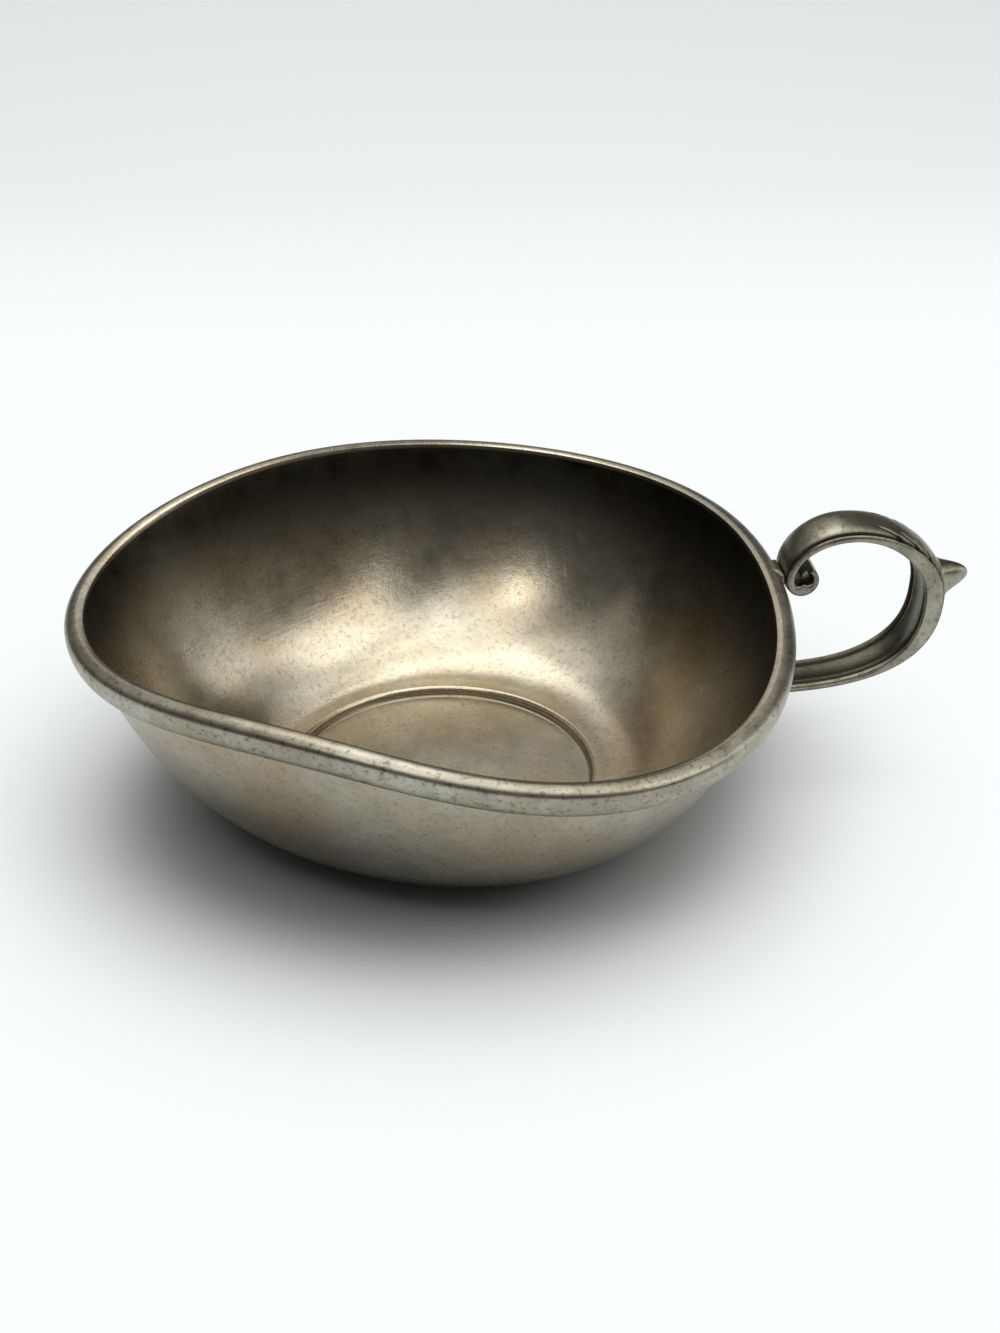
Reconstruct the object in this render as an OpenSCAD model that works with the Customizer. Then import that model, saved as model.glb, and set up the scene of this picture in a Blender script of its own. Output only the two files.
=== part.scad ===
// Pewter porringer: a shallow bowl with a softly bent, three-lobed rim and one
// cast scroll handle, soldered on at the rim and low on the wall.
// Millimetres, +Z up. The origin is the centre of the foot on the table and the
// handle lies in the XZ plane, towards +X.

/* [Bowl] */
// Mean radius of the rim's inner edge
rim_r = 66; // [60:1:72]
// Mean height of the rim's inner edge above the table
rim_h = 45; // [40:0.2:52]
// Thickness of the pewter sheet
wall_t = 1.4; // [1:0.1:2]
// Radius of the sunk floor disc, at its edge inside
floor_r = 31; // [27:0.5:34]
// Depth from the shoulder down to the floor disc
floor_sink = 1.9; // [1.2:0.1:2.6]
// Rounding of the sunk floor's fillet and of the shoulder above it
step_round = 0.9; // [0.5:0.1:1.2]
// How far the wall's curve has turned up at the rim, in degrees
wall_turn = 54; // [48:1:66]

/* [Rim wave] */
// How far each of the three rounded corners bulges out
lobe_out = 4.2; // [0:0.2:5.6]
// How far the rim dips at the three corners and rises between them
lobe_dip = 2.3; // [0:0.1:3.2]
// Shift of the mouth towards the handle
mouth_shift = 2.4; // [-1:0.2:4]
// Lift of the side away from the handle, and drop of the handle's side
mouth_tilt = 2.8; // [-1:0.2:3.6]
// How much longer than wide the mouth is, in radius
mouth_oval = 0.8; // [-1.4:0.1:2]

/* [Rim band] */
// How far the band stands out from the rim's inner edge
band_w = 3.7; // [3.4:0.1:4.6]
// Height of the band from its crown to its lower edge
band_h = 6.5; // [5.6:0.1:7.4]
// How far the band's widest line lies below its crown
band_belly = 2; // [1.7:0.1:2.6]

/* [Handle] */
// Width of the handle across the top arch
arch_w = 11.2; // [9:0.2:13]
// Width of the handle where it meets the wall
tail_w = 10.2; // [8:0.2:12]
// Width across the volute
coil_w = 8.8; // [7:0.2:10]
// Thickness of the side band over the top arch
arch_t = 1.8; // [1.5:0.1:2.4]
// Thickness of the side band at the farthest point
bend_t = 3.9; // [3:0.1:5]
// Thickness of the side band where it meets the wall
tail_t = 1.5; // [1.3:0.1:2.2]
// Height of the arch's outer edge above the rim
arch_rise = 8.4; // [6.4:0.2:10]
// Distance from the rim band to the top of the arch
arch_run = 13.3; // [12:0.1:16]
// Distance from the rim band to the farthest point of the handle's side
loop_reach = 33.4; // [31:0.2:38]
// Drop from the rim to that farthest point
loop_drop = 7.8; // [6:0.2:10]
// Height of the lower arm's underside above the table
arm_z = 17.2; // [15:0.2:20]
// Rise of the leaf cap's crown above the side bands
cap_rise = 1.1; // [0.5:0.1:1.6]
// Width of the plain edge beside the cap and the inner trough
edge_w = 0.7; // [0.5:0.1:1]
// Depth of the grooves that bound the cap and the trough
groove_d = 0.45; // [0.2:0.05:0.6]
// Number of cuts in the leaf's edge above the spur
leaf_cuts = 4; // [0:1:5]
// How far each cut reaches into the leaf
cut_w = 0.9; // [0.3:0.1:1.2]
// How much deeper the groove is at a cut
cut_d = 0.35; // [0.1:0.05:0.5]

/* [Volute] */
// Radius of the volute's outer coil
coil_r = 3.4; // [3.2:0.1:3.8]
// Drop from the rim to the volute's centre
coil_drop = 1.8; // [1.2:0.1:2.8]
// Thickness of the swelling at the bottom of the coil
lobe_t = 2.9; // [2.2:0.1:3.1]
// Thickness of the coil at its tip
tip_t = 1.1; // [0.8:0.1:1.4]
// Width of the web that closes the eye, at the eye's deepest side
web_w = 2.6; // [2:0.2:3.4]
// Width of the web where it runs out into the coil
web_out = 6.6; // [5.4:0.2:7]

/* [Spur] */
// How far the leaf's tip stands out from the handle
spur_l = 5.4; // [3:0.2:6.6]
// Length of the spur's upper slope along the handle
spur_up = 4.2; // [3.6:0.2:6]
// Length of the spur's lower slope along the handle
spur_down = 2.8; // [2.4:0.2:4.4]
// Half width of the spur, as a fraction of the cap's half width
spur_q = 0.72; // [0.5:0.02:0.9]
// How far the spur sits above the handle's farthest point
spur_lift = 1.8; // [0.6:0.1:3]

/* [Solder joints] */
// Space that the solder fills between the handle and the bowl
solder_t = 0.45; // [0.35:0.05:0.8]
// How far the lower solder spreads beyond the handle's end
solder_spread = 1.1; // [0.6:0.1:1.6]
// Height of the upper solder joint
solder_h = 3.8; // [3:0.1:4.4]

/* [Hidden] */

// Clearance between the solder and what it seats on
seat_gap = 0.1;

// Steps round the bowl, and along its wall
turn_n = 80;
wall_n = 13;
// Steps along the coil, the rising arch, the falling arch, the arm and the tail
coil_n = 18;
rise_n = 9;
fall_n = 38;
arm_n = 17;
tail_n = 4;

pewter = [0.50, 0.49, 0.45];
pewter_dark = [0.40, 0.39, 0.36];
solder_tone = [0.62, 0.61, 0.58];

// The rim's line

function rim_rad(a) =
    rim_r + mouth_shift * cos(a) + mouth_oval * cos(2 * a) - lobe_out * cos(3 * a);
function rim_z(a) =
    rim_h - mouth_tilt * cos(a) + lobe_dip * cos(3 * a);

// The wall

// The wall's outer face starts level at the shoulder and turns up to the rim.
foot_r = floor_r + step_round + wall_t;
foot_z = floor_sink;

function arc_r(u) = sin(u * wall_turn) / sin(wall_turn);
function arc_z(u) = (1 - cos(u * wall_turn)) / (1 - cos(wall_turn));
// Radius and height of the outer face, u from 0 at the shoulder to 1 at the rim
function out_pt(a, u) = [
    foot_r + (rim_rad(a) + wall_t - foot_r) * arc_r(u),
    foot_z + (rim_z(a) - foot_z) * arc_z(u)
];
// Unit normal of the outer face in the meridian plane, pointing into the bowl
function in_dir(a, u) =
    let (
        dr = (rim_rad(a) + wall_t - foot_r) * cos(u * wall_turn) / sin(wall_turn),
        dz = (rim_z(a) - foot_z) * sin(u * wall_turn) / (1 - cos(wall_turn)),
        d = norm([dr, dz])
    ) [-dz / d, dr / d];
function in_pt(a, u) = out_pt(a, u) + wall_t * in_dir(a, u);
// Outer face at a given height
function u_at(a, z) =
    acos(1 - (z - foot_z) / (rim_z(a) - foot_z) * (1 - cos(wall_turn))) / wall_turn;
function out_r_at(a, z) = out_pt(a, u_at(a, z))[0];

// The band's section

// The band is an ellipse that leans on the wall: radial and vertical axes about
// a centre set by the rim's inner edge.
band_mid = band_w * 0.315;
band_rad = band_w - band_mid;
band_low = band_h - band_belly;
band_top = 0.33;
function band_pt(a, ang) =
    let (k = sin(ang) > 0 ? band_belly : band_low)
    [
        rim_rad(a) + band_mid + band_rad * cos(ang),
        rim_z(a) + band_top - band_belly + k * sin(ang)
    ];
// Angle on that ellipse at which it crosses the wall's outer edge
top_ang = acos((wall_t - band_mid) / band_rad);
rim_ang = acos(-band_mid / band_rad);
// The band's foot on the wall
band_foot_z = band_h - band_top;
function band_u(a, k) =
    let (uf = u_at(a, rim_z(a) - band_foot_z * 0.98)) uf + (1 - uf) * k;

// Lofting

function ring(f) = [
    for (i = [0:turn_n - 1])
        let (a = 360 * i / turn_n, p = f[i])
        [p[0] * cos(a), p[0] * sin(a), p[1]]
];
// Side faces between closed rings of n points
function skin(rings, n) = [
    for (j = [0:rings - 2])
        for (i = [0:n - 1])
            let (k = (i + 1) % n, p = j * n, q = (j + 1) * n)
            each [[p + i, p + k, q + k], [p + i, q + k, q + i]]
];
function flip(faces) = [for (f = faces) [f[2], f[1], f[0]]];

// Rings of the bowl from the middle of the floor, up the inside, over the rim
// and down the outside to the middle of the foot. Each entry maps an angle to
// a radius and a height.
floor_z = wall_t;
riser_r = floor_r;
sh_z = foot_z + wall_t;

function inner_step(k) =
    k == 0 ? [riser_r - step_round, floor_z] :
    k == 1 ? [riser_r - step_round * (1 - sin(35)), floor_z + step_round * (1 - cos(35))] :
    k == 2 ? [riser_r - step_round * (1 - sin(70)), floor_z + step_round * (1 - cos(70))] :
    k == 3 ? [riser_r + step_round * (1 - cos(20)), sh_z - step_round * (1 - sin(20))] :
    k == 4 ? [riser_r + step_round * (1 - cos(55)), sh_z - step_round * (1 - sin(55))] :
    [riser_r + step_round, sh_z - 0.02];
function outer_step(k) =
    k == 0 ? [foot_r - 0.05, foot_z] :
    k == 1 ? [foot_r - step_round * 0.55, foot_z - step_round * 0.3] :
    k == 2 ? [foot_r - step_round * 0.8, step_round * 0.7] :
    k == 3 ? [foot_r - step_round * 0.95, step_round * 0.25] :
    [foot_r - step_round * 1.4, 0];

function wall_u(j) = j / wall_n;
band_steps = 3;
function band_k(j) = j / band_steps;

bowl_rings = concat(
    [for (k = [0:5]) [for (i = [0:turn_n - 1]) inner_step(k)]],
    [for (j = [1:wall_n]) [
        for (i = [0:turn_n - 1])
            let (a = 360 * i / turn_n)
            in_pt(a, wall_u(j) * 0.985)
    ]],
    [for (k = [0:2]) [
        for (i = [0:turn_n - 1])
            let (a = 360 * i / turn_n)
            band_pt(a, rim_ang + (top_ang - rim_ang) * k / 2)
    ]],
    [for (j = [0:band_steps]) [
        for (i = [0:turn_n - 1])
            let (a = 360 * i / turn_n)
            out_pt(a, band_u(a, 1 - band_k(j)))
    ]],
    [for (j = [1:wall_n - 1]) [
        for (i = [0:turn_n - 1])
            let (a = 360 * i / turn_n)
            out_pt(a, band_u(a, 0) * (1 - j / wall_n))
    ]],
    [for (k = [0:4]) [for (i = [0:turn_n - 1]) outer_step(k)]]
);

module bowl() {
    n = len(bowl_rings);
    pts = concat(
        [for (r = bowl_rings) each ring(r)],
        [[0, 0, floor_z], [0, 0, 0]]
    );
    faces = concat(
        skin(n, turn_n),
        [for (i = [0:turn_n - 1]) [n * turn_n, (i + 1) % turn_n, i]],
        [
            for (i = [0:turn_n - 1])
                [n * turn_n + 1, (n - 1) * turn_n + i, (n - 1) * turn_n + (i + 1) % turn_n]
        ]
    );
    color(pewter)
    polyhedron(points = pts, faces = faces, convexity = 6);
}

// The band seats face to face on the wall: its back has the wall's own points.
arc_steps = 11;
band_rings = concat(
    [for (k = [0:arc_steps]) [
        for (i = [0:turn_n - 1])
            let (a = 360 * i / turn_n)
            band_pt(a, top_ang + (-82 - top_ang) * k / arc_steps)
    ]],
    [for (j = [0:band_steps]) [
        for (i = [0:turn_n - 1])
            let (a = 360 * i / turn_n)
            out_pt(a, band_u(a, band_k(j)))
    ]]
);

module rim_band() {
    n = len(band_rings);
    pts = [for (r = band_rings) each ring(r)];
    faces = concat(
        skin(n, turn_n),
        [
            for (i = [0:turn_n - 1])
                let (k = (i + 1) % turn_n, p = (n - 1) * turn_n)
                each [[p + i, p + k, k], [p + i, k, i]]
        ]
    );
    color(pewter)
    polyhedron(points = pts, faces = faces, convexity = 6);
}

// The handle's line

// The coil's back, clear of the rim band by the solder's thickness
coil_crown = cap_rise * 0.3;
back_x = rim_rad(0) + band_w + solder_t + coil_crown;
top_z = rim_z(0);
coil_x = back_x + coil_r;
coil_z = top_z - coil_drop;
crest = [rim_rad(0) + band_w + arch_run, top_z + arch_rise];
far = [rim_rad(0) + band_w + loop_reach, top_z - loop_drop];
arm = [back_x + 3, arm_z];

function bez(p, t) =
    pow(1 - t, 3) * p[0] + 3 * pow(1 - t, 2) * t * p[1]
    + 3 * (1 - t) * t * t * p[2] + t * t * t * p[3];
function bez_d(p, t) =
    3 * pow(1 - t, 2) * (p[1] - p[0]) + 6 * (1 - t) * t * (p[2] - p[1])
    + 3 * t * t * (p[3] - p[2]);
function mix(a, b, t) = a + (b - a) * t;
function ease(t) = let (c = min(1, max(0, t))) c * c * (3 - 2 * c);

// Outer edge of the side band: a quarter turn up from the coil, over the crest,
// round the far side and in along the arm.
rise_run = crest[0] - back_x;
rise_up = crest[1] - coil_z;
fall_run = far[0] - crest[0];
fall_down = crest[1] - far[1];
arm_run = far[0] - arm[0];
arm_down = far[1] - arm[1];
rise_curve = [
    [back_x, coil_z],
    [back_x, coil_z + 0.55 * rise_up],
    [crest[0] - 0.55 * rise_run, crest[1]],
    crest
];
fall_curve = [
    crest,
    [crest[0] + 0.53 * fall_run, crest[1]],
    [far[0], far[1] + 0.53 * fall_down],
    far
];
arm_curve = [
    far,
    [far[0], far[1] - 0.667 * arm_down],
    [arm[0] + 0.67 * arm_run, arm[1]],
    arm
];

// A station is [x, z, outward x, outward z, thickness, width, cap rise,
// cap groove, inner face, spur, trough groove, half width of the web, cut].
function station(p, d, t, w, cap, groove, face, spur, trough, web = 0, cut = 0) =
    let (m = norm(d), n = [-d[1] / m, d[0] / m])
    [p[0], p[1], n[0], n[1], t, w, cap, groove, face, spur, trough, web, cut];

// The spur's height at a distance e past its peak, measured down the handle
function spur_at(e) =
    e < 0
        ? spur_l * pow(cos(90 * min(1, -e / spur_up)), 2)
        : spur_l * pow(cos(90 * min(1, e / spur_down)), 1.3);

// How deep the leaf's cuts are at a point of the falling arch, from 0 to 1
cut_from = 0.34;
cut_step = 0.155;
function cut_at(t) =
    t < cut_from - cut_step / 2 || t > cut_from + cut_step * (leaf_cuts - 0.5)
        ? 0
        : pow(0.5 + 0.5 * cos(360 * (t - cut_from) / cut_step), 3);

// Coil, from its tip under the arch, clockwise round the bottom and up the back
coil_end = 52;
coil_line = [
    for (i = [0:coil_n])
        let (
            k = i / coil_n,
            a = coil_end - k * (coil_end + 180),
            bulge = exp(-pow((a + 75) / 48, 2)),
            t = mix(tip_t, arch_t, ease((k - 0.3) / 0.7)) + (lobe_t - arch_t) * bulge,
            r = coil_r * mix(0.93, 1, ease(k * 2)),
            web = k < 0.86 ? r - t - 0.35 : (r - t) * ease((1 - k) / 0.14) * 0.9,
            half_web = mix(web_w, web_out, ease(k * 1.3)) / 2
        )
        station(
            [coil_x + r * cos(a), coil_z + r * sin(a)],
            [sin(a), -cos(a)],
            t,
            coil_w,
            coil_crown * ease(k * 3),
            0,
            -web,
            0,
            0,
            half_web
        )
];
rise_line = [
    for (i = [1:rise_n])
        let (t = i / rise_n)
        station(
            bez(rise_curve, t),
            bez_d(rise_curve, t),
            arch_t,
            mix(coil_w, arch_w, ease(t)),
            mix(coil_crown, cap_rise, ease(t)),
            groove_d * ease(t * 2),
            0,
            0,
            0
        )
];
fall_line = [
    for (i = [1:fall_n])
        let (
            t = 1 - pow(1 - i / fall_n, 1.35),
            p = bez(fall_curve, t),
            e = far[1] + spur_lift - p[1]
        )
        station(
            p,
            bez_d(fall_curve, t),
            mix(arch_t, bend_t, ease(t)),
            arch_w,
            cap_rise,
            groove_d * (1 - ease((t - 0.7) * 3)) + cut_d * cut_at(t),
            0.12 * ease((t - 0.3) * 3),
            spur_at(e),
            groove_d * ease((t - 0.3) * 3),
            0,
            cut_at(t)
        )
];
arm_line = [
    for (i = [1:arm_n])
        let (
            t = pow(i / arm_n, 1.5),
            p = bez(arm_curve, t),
            e = far[1] + spur_lift - p[1]
        )
        station(
            p,
            bez_d(arm_curve, t),
            mix(bend_t, tail_t, ease(t * 1.15)),
            mix(arch_w, tail_w, ease(t)),
            cap_rise,
            0,
            0.12,
            spur_at(e),
            groove_d
        )
];
lines = concat(coil_line, rise_line, fall_line, arm_line);

// Half of a section, from the cap's crown round the side to the inner face,
// each point as [distance out from the inner edge, distance across]
function half(s) =
    let (
        t = s[4],
        h = s[5] / 2,
        hc = h - edge_w,
        c = s[6],
        g = s[7],
        f = s[8],
        sp = s[9],
        gi = s[10],
        leaf = hc - cut_w * s[12],
        b = min(0.42, t * 0.35),
        m = f < -0.05 ? min(s[11], hc - 0.1) : hc - 0.35
    )
    [
        for (q = [0, 0.2, 0.4, 0.58, 0.74, 0.88])
            [
                t + c * sqrt(1 - q * q) + sp * pow(max(0, 1 - pow(q / spur_q, 2)), 1.2),
                leaf * q
            ],
        [t - g, leaf],
        [t - g * 0.9, leaf + 0.16],
        [t, hc + 0.34],
        [t - b * 0.3, h - b * 0.3],
        [t - b, h],
        [b, h],
        [b * 0.3, h - b * 0.3],
        [0, hc],
        [gi, mix(m, hc, 0.55)],
        [min(f, 0) == f && f < -0.05 ? f * 0.35 : f, m],
        [f, m - 0.3],
        [f, 0]
    ];
half_n = 18;
sec_n = 2 * half_n - 2;

function full(s) =
    let (q = half(s))
    concat(q, [for (i = [half_n - 2:-1:1]) [q[i][0], -q[i][1]]]);

// A section placed in space: the outward direction is turned from the path's
function place(s) =
    let (t = s[4])
    [
        for (p = full(s))
            [
                s[0] + (p[0] - t) * s[2],
                p[1],
                s[1] + (p[0] - t) * s[3]
            ]
    ];

// The tail: the arm's last section carried straight in to the wall, its end cut
// to the wall's slope with room for the solder
function wall_x(y, z, off) =
    let (a = atan2(y, out_r_at(0, z)), r = out_r_at(a, z) + off)
    sqrt(r * r - y * y);
// Horizontal room that leaves the named space square to the wall
tail_u = u_at(0, arm_z + tail_t / 2);
tail_off = solder_t / abs(in_dir(0, tail_u)[0]);
last = lines[len(lines) - 1];
// The trough and its grooves run out along the tail
function plain(s) = [for (i = [0:len(s) - 1]) i == 8 || i == 10 ? 0 : s[i]];
tail_from = place(last);
tail_to = place(plain(last));
tail_secs = [
    for (j = [1:tail_n])
        [
            for (i = [0:sec_n - 1])
                let (p = mix(tail_from[i], tail_to[i], j / tail_n))
                [mix(p[0], wall_x(p[1], p[2], tail_off), j / tail_n), p[1], p[2]]
        ]
];
// The tail's end face: a smaller ring on the wall's curve, then a hub
tail_z = arm_z + (tail_t + cap_rise) / 2 - 0.3;
tail_end = tail_secs[tail_n - 1];
tail_ring = [
    for (p = tail_end)
        let (y = p[1] * 0.5, z = mix(tail_z, p[2], 0.5))
        [wall_x(y, z, tail_off), y, z]
];
tail_hub = [wall_x(0, tail_z, tail_off), 0, tail_z];
// The tip's hub lies in the middle of the coil's first section
tip = lines[0];
tip_hub = [tip[0] - tip[4] / 2 * tip[2], 0, tip[1] - tip[4] / 2 * tip[3]];

module handle() {
    secs = concat([for (s = lines) place(s)], tail_secs, [tail_ring]);
    n = len(secs) * sec_n;
    color(pewter_dark)
    polyhedron(
        points = concat([for (s = secs) each s], [tip_hub, tail_hub]),
        faces = concat(
            skin(len(secs), sec_n),
            [for (i = [0:sec_n - 1]) [n, (i + 1) % sec_n, i]],
            [for (i = [0:sec_n - 1]) [n + 1, n - sec_n + i, n - sec_n + (i + 1) % sec_n]]
        ),
        convexity = 10
    );
}

// Solder

// Upper joint: fills the wedge between the band's face and the coil's back,
// which goes on almost straight up into the arch
up_ny = 8;
up_nz = 8;
function band_x(y, z) =
    let (
        a = atan2(y, rim_rad(0) + band_w),
        dz = z - (rim_z(a) + band_top - band_belly),
        k = dz > 0 ? band_belly : band_low,
        r = rim_rad(a) + band_mid + band_rad * sqrt(max(0, 1 - pow(dz / k, 2)))
    )
    sqrt(r * r - y * y);

module upper_solder() {
    zc = top_z + band_top - band_belly;
    grid = [
        for (j = [0:up_nz])
            for (i = [0:up_ny])
                let (
                    v = 2 * j / up_nz - 1,
                    hw = coil_w / 2 * 0.8 * sqrt(1.02 - v * v * 0.75),
                    y = (2 * i / up_ny - 1) * hw,
                    z = zc + v * solder_h / 2
                )
                [y, z]
    ];
    m = len(grid);
    back = [for (g = grid) [band_x(g[0], g[1]) + seat_gap, g[0], g[1]]];
    front = [
        for (g = grid)
            let (
                dz = g[1] - coil_z,
                cz = dz > 0 ? dz * 0.3 : min(-dz, coil_r * 0.98),
                c = coil_crown * sqrt(1 - pow(g[0] / (coil_w / 2), 2)),
                x = coil_x - sqrt(pow(coil_r + c, 2) - cz * cz) - seat_gap,
                lo = band_x(g[0], g[1]) + seat_gap + 0.12
            )
            [max(lo, min(x, lo + solder_t * 1.6)), g[0], g[1]]
    ];
    nx = up_ny + 1;
    function cell(j, i) = j * nx + i;
    edge = concat(
        [for (i = [0:up_ny - 1]) cell(0, i)],
        [for (j = [0:up_nz - 1]) cell(j, up_ny)],
        [for (i = [up_ny:-1:1]) cell(up_nz, i)],
        [for (j = [up_nz:-1:1]) cell(j, 0)]
    );
    color(solder_tone)
    polyhedron(
        points = concat(back, front),
        faces = concat(
            [
                for (j = [0:up_nz - 1])
                    for (i = [0:up_ny - 1])
                        each [
                            [cell(j, i), cell(j, i + 1), cell(j + 1, i + 1)],
                            [cell(j, i), cell(j + 1, i + 1), cell(j + 1, i)],
                            [m + cell(j, i), m + cell(j + 1, i + 1), m + cell(j, i + 1)],
                            [m + cell(j, i), m + cell(j + 1, i), m + cell(j + 1, i + 1)]
                        ]
            ],
            [
                for (i = [0:len(edge) - 1])
                    let (a = edge[i], b = edge[(i + 1) % len(edge)])
                    each [[a, m + a, m + b], [a, m + b, b]]
            ]
        ),
        convexity = 4
    );
}

// Lower joint: a thin puddle on the wall under the handle's end
low_n = 24;
low_rings = 3;
module lower_solder() {
    cz = arm_z + tail_t / 2 - cap_rise / 2;
    hy = tail_w / 2 + solder_spread;
    hz = (tail_t + cap_rise) / 2 + solder_spread;
    function spot(k, i) =
        let (a = 360 * i / low_n)
        [hy * k * cos(a), cz + hz * k * sin(a)];
    rings = [1, 0.8, 0.45];
    thick = [0.25, 1, 1];
    lift = (solder_t - 2 * seat_gap);
    gapx = seat_gap / abs(in_dir(0, tail_u)[0]);
    thickx = lift / abs(in_dir(0, tail_u)[0]);
    back = [
        for (j = [0:low_rings - 1])
            for (i = [0:low_n - 1])
                let (p = spot(rings[j], i)) [wall_x(p[0], p[1], gapx), p[0], p[1]]
    ];
    front = [
        for (j = [0:low_rings - 1])
            for (i = [0:low_n - 1])
                let (p = spot(rings[j], i)) [wall_x(p[0], p[1], gapx + thickx * thick[j]), p[0], p[1]]
    ];
    m = len(back);
    hub_b = [wall_x(0, cz, gapx), 0, cz];
    hub_f = [wall_x(0, cz, gapx + thickx), 0, cz];
    color(solder_tone)
    polyhedron(
        points = concat(back, front, [hub_b, hub_f]),
        faces = concat(
            skin(low_rings, low_n),
            flip([for (f = skin(low_rings, low_n)) [f[0] + m, f[1] + m, f[2] + m]]),
            [
                for (i = [0:low_n - 1])
                    let (k = (i + 1) % low_n, p = (low_rings - 1) * low_n)
                    each [
                        [p + i, p + k, 2 * m],
                        [m + p + k, m + p + i, 2 * m + 1],
                        [k, i, m + i],
                        [k, m + i, m + k]
                    ]
            ]
        ),
        convexity = 4
    );
}

bowl();
rim_band();
handle();
upper_solder();
lower_solder();
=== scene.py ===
# %% [markdown]
# # A pewter porringer
# A porringer is a shallow bowl for one person, with a handle that a finger
# goes through. This one is spun from a disc of pewter, edged with a rounded
# band, gently bent so that its mouth has three soft corners, and given one
# cast handle that ends in a little scroll at the rim.
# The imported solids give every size. This script dresses them: it builds finer
# meshes of the same forms, gives each its finish, and lights them.

# %% Load the frame
import bmesh
import bpy
import math
import mathutils
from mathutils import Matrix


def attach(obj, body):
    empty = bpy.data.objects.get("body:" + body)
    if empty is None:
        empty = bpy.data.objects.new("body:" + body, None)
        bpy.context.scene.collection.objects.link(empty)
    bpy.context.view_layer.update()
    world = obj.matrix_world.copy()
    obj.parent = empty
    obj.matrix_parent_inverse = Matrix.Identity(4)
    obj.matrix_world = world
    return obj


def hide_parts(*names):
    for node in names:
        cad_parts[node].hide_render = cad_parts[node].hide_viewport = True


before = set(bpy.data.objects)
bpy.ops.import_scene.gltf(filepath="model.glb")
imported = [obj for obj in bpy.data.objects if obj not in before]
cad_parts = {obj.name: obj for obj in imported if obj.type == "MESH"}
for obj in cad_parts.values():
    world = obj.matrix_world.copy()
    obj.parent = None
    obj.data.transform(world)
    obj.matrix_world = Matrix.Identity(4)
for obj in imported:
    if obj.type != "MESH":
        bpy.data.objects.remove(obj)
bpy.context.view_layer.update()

print("nodes:", ", ".join(sorted(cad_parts)))

# %% [markdown]
# ## Working in millimetres
# The drawing of the bowl is in millimetres and Blender's scene is in metres, so
# one number turns one into the other. The sizes below are the drawing's own.
# A wave round the mouth bends it, and the five MOUTH and LOBE sizes say how
# far.

# %% Sizes of the bowl and its band, in millimetres
MM = 0.001
RIM_R, RIM_H, WALL_T = 66.0, 45.0, 1.4
FLOOR_R, FLOOR_SINK, STEP_ROUND = 31.0, 1.9, 0.9
WALL_TURN = math.radians(54)
LOBE_OUT, LOBE_DIP = 4.2, 2.3
MOUTH_SHIFT, MOUTH_TILT, MOUTH_OVAL = 2.4, 2.8, 0.8
BAND_W, BAND_H, BAND_BELLY, BAND_TOP = 3.7, 6.5, 2.0, 0.33
FOOT_R = FLOOR_R + STEP_ROUND + WALL_T
FOOT_Z = FLOOR_SINK
FOOT_ROUND, FOOT_STEP = 0.5, 0.9
STEPS_ROUND = 224
print("foot radius", FOOT_R, "mm, rim", RIM_R, "mm")

# %% [markdown]
# ## Two small helpers
# Colours are picked as sRGB hex values, as a painter's chart gives them, but a
# shader adds and multiplies light, so they are turned to linear first. The
# other helper adds a node, sets it up and links its inputs in one line, which
# keeps a tree readable from top to bottom.

# %% Helpers for colours and nodes
def srgb(text):
    parts = [int(text[i:i + 2], 16) / 255 for i in (1, 3, 5)]
    line = [p / 12.92 if p <= 0.04045 else ((p + 0.055) / 1.055) ** 2.4 for p in parts]
    return (line[0], line[1], line[2], 1.0)


def add(tree, kind, settings=None, inputs=None):
    node = tree.nodes.new(kind)
    for key, value in (settings or {}).items():
        setattr(node, key, value)
    for key, value in (inputs or {}).items():
        if isinstance(value, bpy.types.NodeSocket):
            tree.links.new(value, node.inputs[key])
        else:
            node.inputs[key].default_value = value
    return node


# The settings that the trees below use more than once.
MATH, RANGE, MIX = "ShaderNodeMath", "ShaderNodeMapRange", "ShaderNodeMix"
NOISE, VECTOR = "ShaderNodeTexNoise", "ShaderNodeVectorMath"
TIMES, TIMES_ADD = {"operation": "MULTIPLY"}, {"operation": "MULTIPLY_ADD"}
MINUS, LARGER = {"operation": "SUBTRACT"}, {"operation": "MAXIMUM"}
SMOOTH, COLOURS = {"interpolation_type": "SMOOTHSTEP"}, {"data_type": "RGBA"}
print("grey card:", [round(c, 3) for c in srgb("#808080")])

# %% [markdown]
# ## The camera
# The camera stands where the photographer's stood: a little left of the front,
# half a metre away and looking down by a bit under 32 degrees. Its place was
# worked out from the ellipse of the floor, the rim's line and the handle.
# Three directions make its matrix: to its right, up, and back towards it.

# %% Place the camera
PITCH, ROLL, SWING = 0.55117, 0.00922, 0.14865
PAN_X, PAN_Y, FAR = -12.06176, -23.60393, 493.66557
FOCAL_PX, SENSOR, FRAME_PX = 2400, 36, 1333
roll_cos, roll_sin = math.cos(ROLL), math.sin(ROLL)
pitch_cos, pitch_sin = math.cos(PITCH), math.sin(PITCH)
sideways = -(PAN_X * roll_cos + PAN_Y * roll_sin)
upwards = -(PAN_Y * roll_cos - PAN_X * roll_sin)
swing = mathutils.Matrix.Rotation(-SWING, 3, "Z")
level = mathutils.Vector((1, 0, 0))
tilted_up = mathutils.Vector((0, pitch_sin, pitch_cos))
ahead = mathutils.Vector((0, pitch_cos, -pitch_sin))
place = swing @ (level * sideways + tilted_up * upwards - ahead * FAR)
axes = (swing @ (level * roll_cos - tilted_up * roll_sin),
        swing @ (level * roll_sin + tilted_up * roll_cos),
        swing @ (-ahead))
camera_data = bpy.data.cameras.new("camera")
camera_data.lens = FOCAL_PX * SENSOR / FRAME_PX
camera_data.sensor_width = SENSOR
camera_data.clip_end = 80
camera = bpy.data.objects.new("camera", camera_data)
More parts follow.
